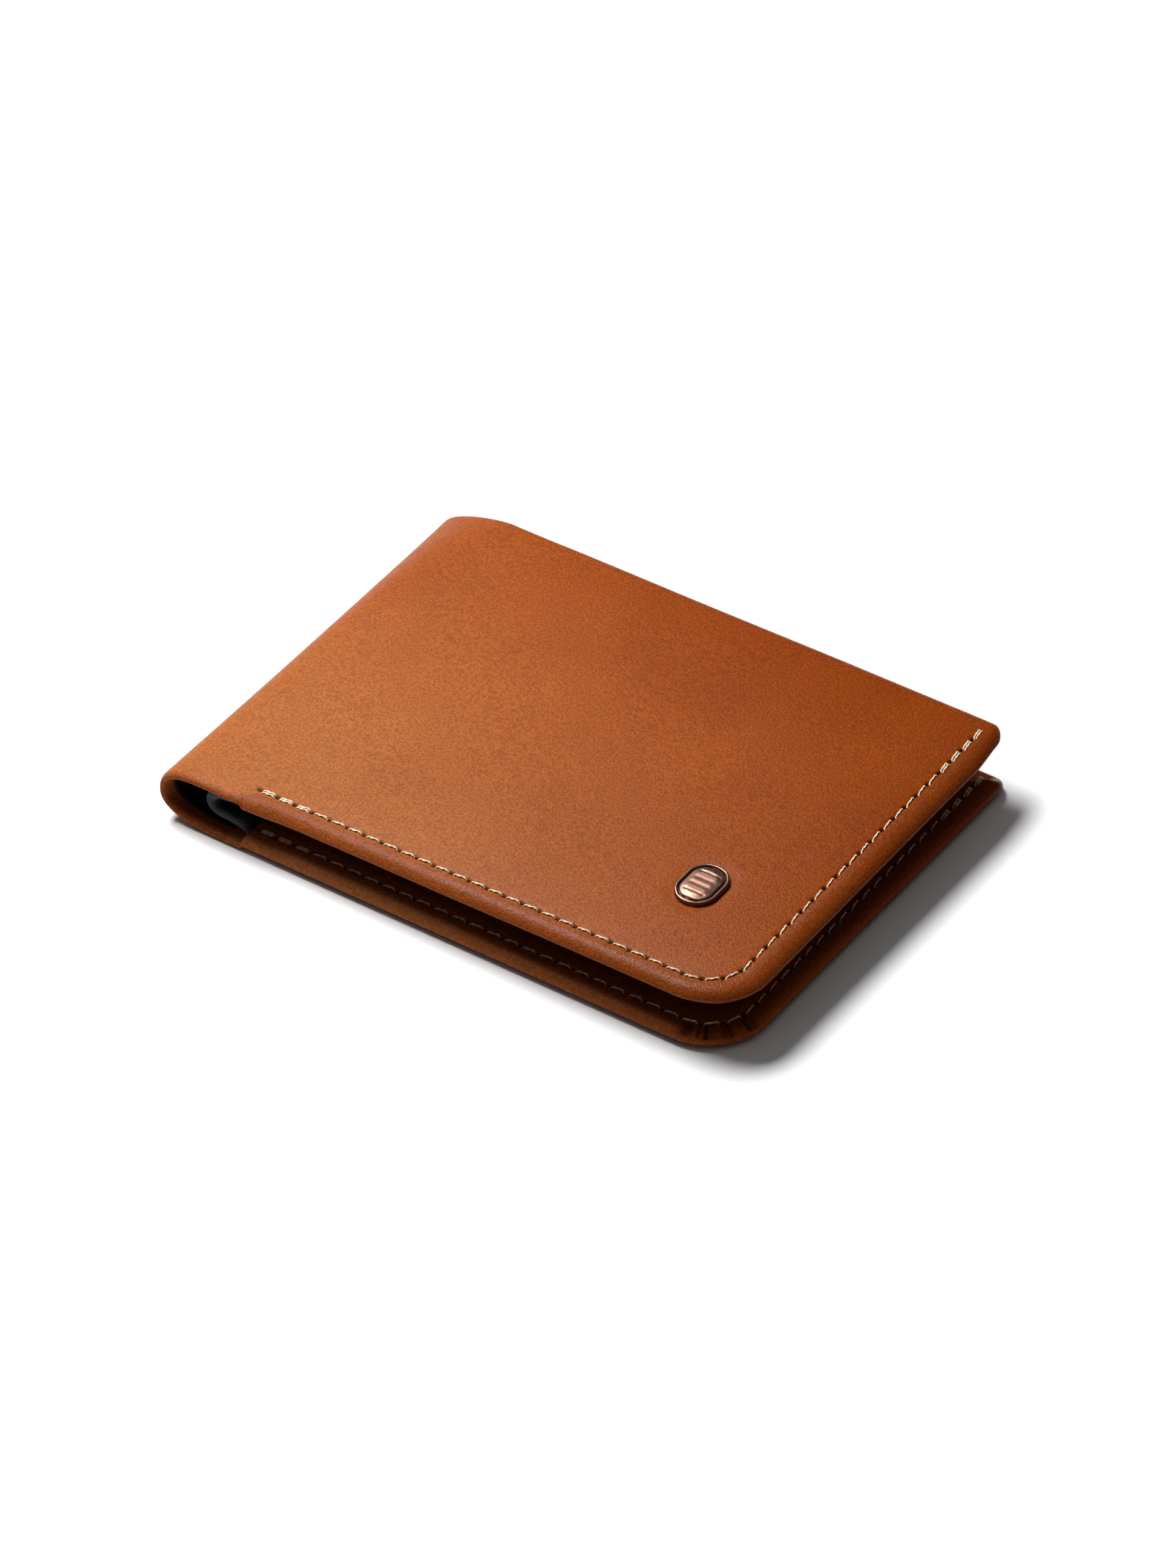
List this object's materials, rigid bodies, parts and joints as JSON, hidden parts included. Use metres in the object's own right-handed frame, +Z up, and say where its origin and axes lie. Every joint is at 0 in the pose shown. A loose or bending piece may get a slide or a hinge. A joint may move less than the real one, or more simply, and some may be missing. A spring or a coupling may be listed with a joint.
{
  "type": "bifold wallet",
  "caption": "Leather bifold wallet with a stitched hem, a banknote compartment, card pockets in both leaves and a small metal badge.",
  "frame": {"origin": "centre of the closed wallet's footprint, on the surface it lies on", "axes": "+X from the fold to the free edges, +Y from the stitched bottom edge to the banknote opening, +Z up through the closed leaves"},
  "size_m": [0.1155, 0.087, 0.013],
  "materials": {
    "cover_leather": "smooth caramel leather, soft sheen",
    "panel_leather": "smooth caramel leather",
    "lining_leather": "matt skiver leather",
    "divider_fabric": "dark grey woven lining",
    "board": "bonded leather board",
    "thread": "waxed cream thread",
    "badge_metal": "antiqued copper",
    "washer_steel": "plain steel"
  },
  "bodies": {
    "back_leaf": {"back_cover": "cover_leather", "back_reinforcement": "board", "back_lining": "lining_leather", "back_divider": "divider_fabric", "back_card_backing": "panel_leather", "back_card_pocket_upper": "panel_leather", "back_card_pocket_middle": "panel_leather", "back_card_pocket_lower": "panel_leather", "back_stitching": "thread"},
    "fold_strip_1": {"fold_cover_1": "cover_leather", "fold_lining_1": "lining_leather", "fold_divider_1": "divider_fabric"},
    "fold_strip_2": {"fold_cover_2": "cover_leather", "fold_lining_2": "lining_leather", "fold_divider_2": "divider_fabric"},
    "front_leaf": {"front_cover": "cover_leather", "front_reinforcement": "board", "front_lining": "lining_leather", "front_divider": "divider_fabric", "front_card_backing": "panel_leather", "front_card_pocket_upper": "panel_leather", "front_card_pocket_middle": "panel_leather", "front_card_pocket_lower": "panel_leather", "front_stitching": "thread", "badge": "badge_metal", "badge_washer": "washer_steel"}
  },
  "joints": [
    {"name": "fold_hinge_back", "type": "hinge", "parent": "back_leaf", "child": "fold_strip_1", "pos_m": [-0.05489, 0, 0.00056], "axis": [0, -1, 0], "range_deg": [0, 60]},
    {"name": "fold_hinge_middle", "type": "hinge", "parent": "fold_strip_1", "child": "fold_strip_2", "pos_m": [-0.05803, 0, 0.006], "axis": [0, -1, 0], "range_deg": [0, 60]},
    {"name": "fold_hinge_front", "type": "hinge", "parent": "fold_strip_2", "child": "front_leaf", "pos_m": [-0.05489, 0, 0.01144], "axis": [0, -1, 0], "range_deg": [0, 60]}
  ],
  "couplings": [
    {"joint": "fold_hinge_middle", "follows": "fold_hinge_back", "ratio": 1},
    {"joint": "fold_hinge_front", "follows": "fold_hinge_back", "ratio": 1}
  ]
}
